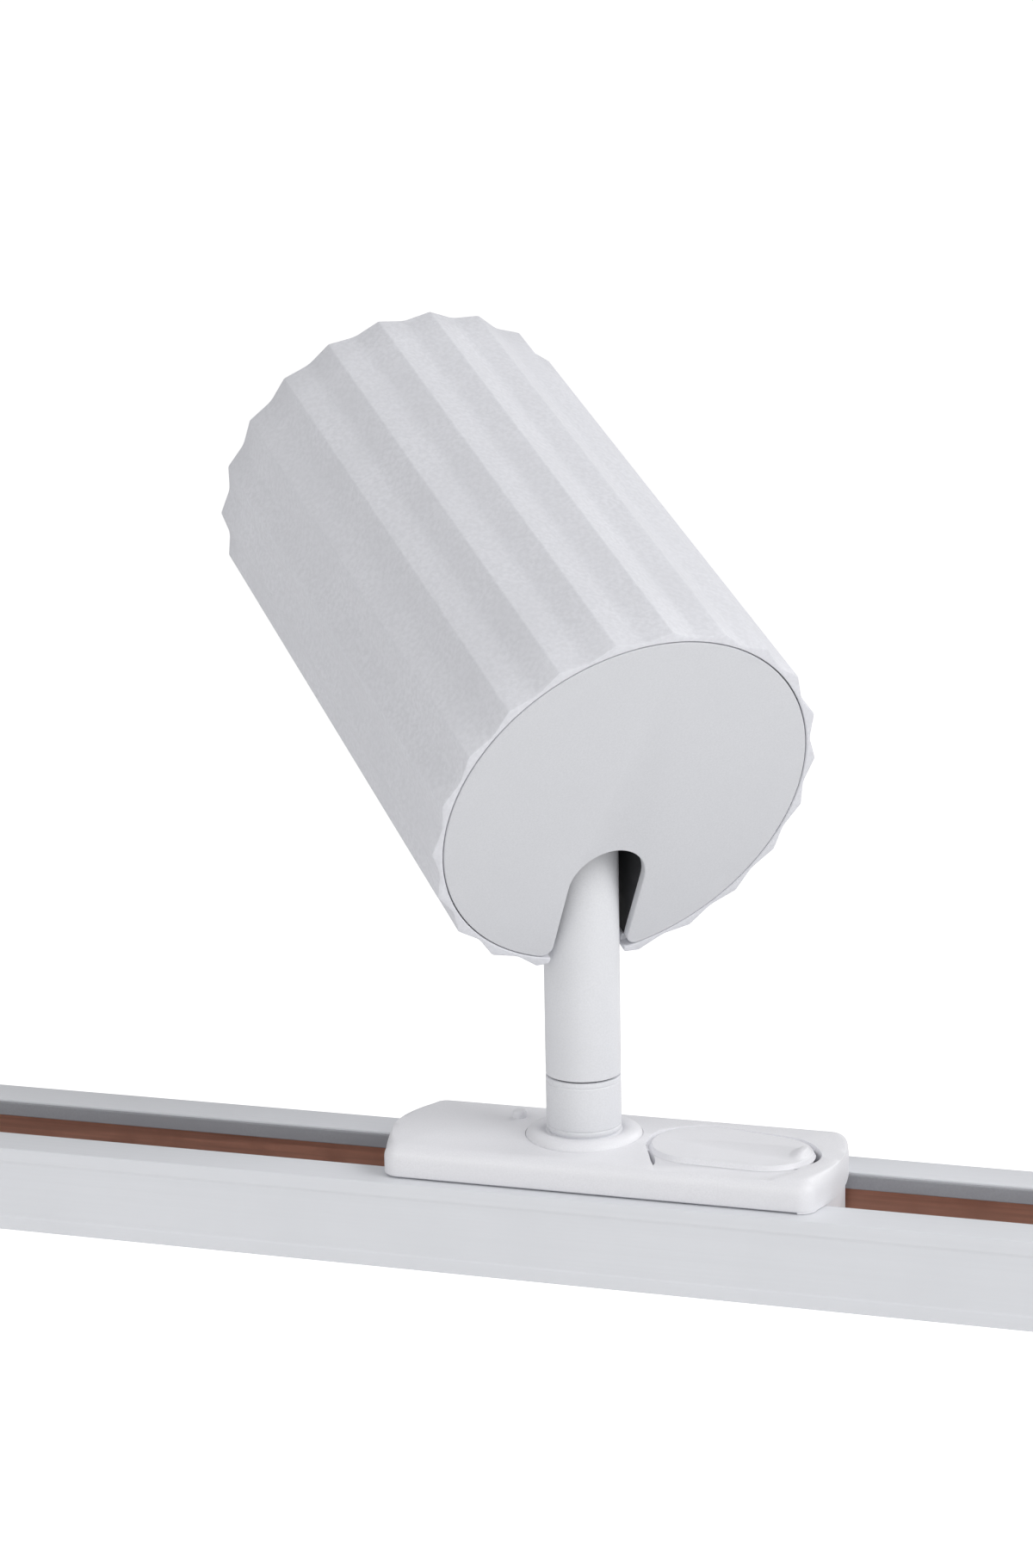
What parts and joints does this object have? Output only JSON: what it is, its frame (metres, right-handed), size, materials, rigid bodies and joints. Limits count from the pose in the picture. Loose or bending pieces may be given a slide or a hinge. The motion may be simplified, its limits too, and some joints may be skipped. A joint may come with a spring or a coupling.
{
  "type": "track lighting fixture",
  "caption": "Track spotlight: a fluted white cylindrical head that tilts and pans on a short stem, on an adapter with a lock lever, in a short length of power track.",
  "frame": {"origin": "on the track's flat back face, under the axis of the stem", "axes": "+X along the track towards the lock lever's side of the stem, +Z away from the surface that the track is screwed to, +Y across the track, on the side that the head shines towards"},
  "size_m": [0.2848, 0.1194, 0.1632],
  "materials": {
    "powder_coat": "satin",
    "track_coat": "satin",
    "white_plastic": "satin",
    "grey_pvc": "matte",
    "copper": "satin",
    "brass": "satin",
    "steel": "satin",
    "black_plastic": "matte",
    "gasket_rubber": "matte",
    "wire_blue": "satin",
    "wire_red": "satin",
    "circuit_board": "satin",
    "winding": "satin",
    "bare_aluminium": "satin",
    "led_board_white": "satin",
    "led_phosphor": "satin",
    "reflector_finish": "polished",
    "clear_lens": "polished"
  },
  "bodies": {
    "track": {"track_profile": "track_coat", "insulator_near": "grey_pvc", "insulator_far": "grey_pvc", "conductor_near": "copper", "conductor_far": "copper", "end_cap_left": "white_plastic", "end_cap_right": "white_plastic"},
    "adapter": {"adapter_cover": "white_plastic", "adapter_insert": "white_plastic", "locating_peg": "white_plastic", "stem_collar": "white_plastic", "stem_sleeve": "powder_coat", "stem_nipple": "steel", "stem_lock_nut": "steel", "pan_washer": "brass", "pan_nut": "steel", "terminal_near": "brass", "terminal_far": "brass", "adapter_lead_near": "wire_blue", "adapter_lead_far": "wire_red"},
    "lever": {"lock_lever": "white_plastic", "lever_rotor": "black_plastic", "contact_blade_near": "copper", "contact_blade_far": "copper"},
    "arm": {"arm_tube": "powder_coat", "pan_stop_pin": "steel", "arm_lead_near": "wire_blue", "arm_lead_far": "wire_red"},
    "head": {"fluted_housing": "powder_coat", "rear_cap": "powder_coat", "slot_liner": "black_plastic", "pivot_bracket": "steel", "pivot_screw_left": "steel", "pivot_screw_right": "steel", "tilt_washer_left": "brass", "tilt_washer_right": "brass", "bracket_screw_left": "steel", "bracket_screw_right": "steel", "standoff_left": "brass", "standoff_right": "brass", "mounting_plate": "steel", "driver_case": "white_plastic", "driver_board": "circuit_board", "driver_transformer": "winding", "driver_capacitor": "black_plastic", "heat_sink": "bare_aluminium", "led_board": "led_board_white", "led_emitter": "led_phosphor", "led_holder": "black_plastic", "led_lead_near": "wire_blue", "led_lead_far": "wire_red", "driver_lead_near": "wire_blue", "driver_lead_far": "wire_red", "reflector": "reflector_finish", "lens_gasket": "gasket_rubber", "front_lens": "clear_lens", "front_trim": "black_plastic"}
  },
  "joints": [
    {"name": "adapter_slide", "type": "slide", "parent": "track", "child": "adapter", "axis": [1, 0, 0], "range_m": [-0.11, 0.069]},
    {"name": "lever_turn", "type": "hinge", "parent": "adapter", "child": "lever", "pos_m": [0.0217, 0, 0.0211], "axis": [0, 0, -1], "range_deg": [0, 65]},
    {"name": "pan", "type": "hinge", "parent": "adapter", "child": "arm", "pos_m": [0, 0, 0.033], "axis": [0, 0, 1], "range_deg": [-172, 172]},
    {"name": "tilt", "type": "hinge", "parent": "arm", "child": "head", "pos_m": [0, 0, 0.0742], "axis": [0.7123, 0.7019, 0], "range_deg": [-27.78, 62.22]}
  ]
}
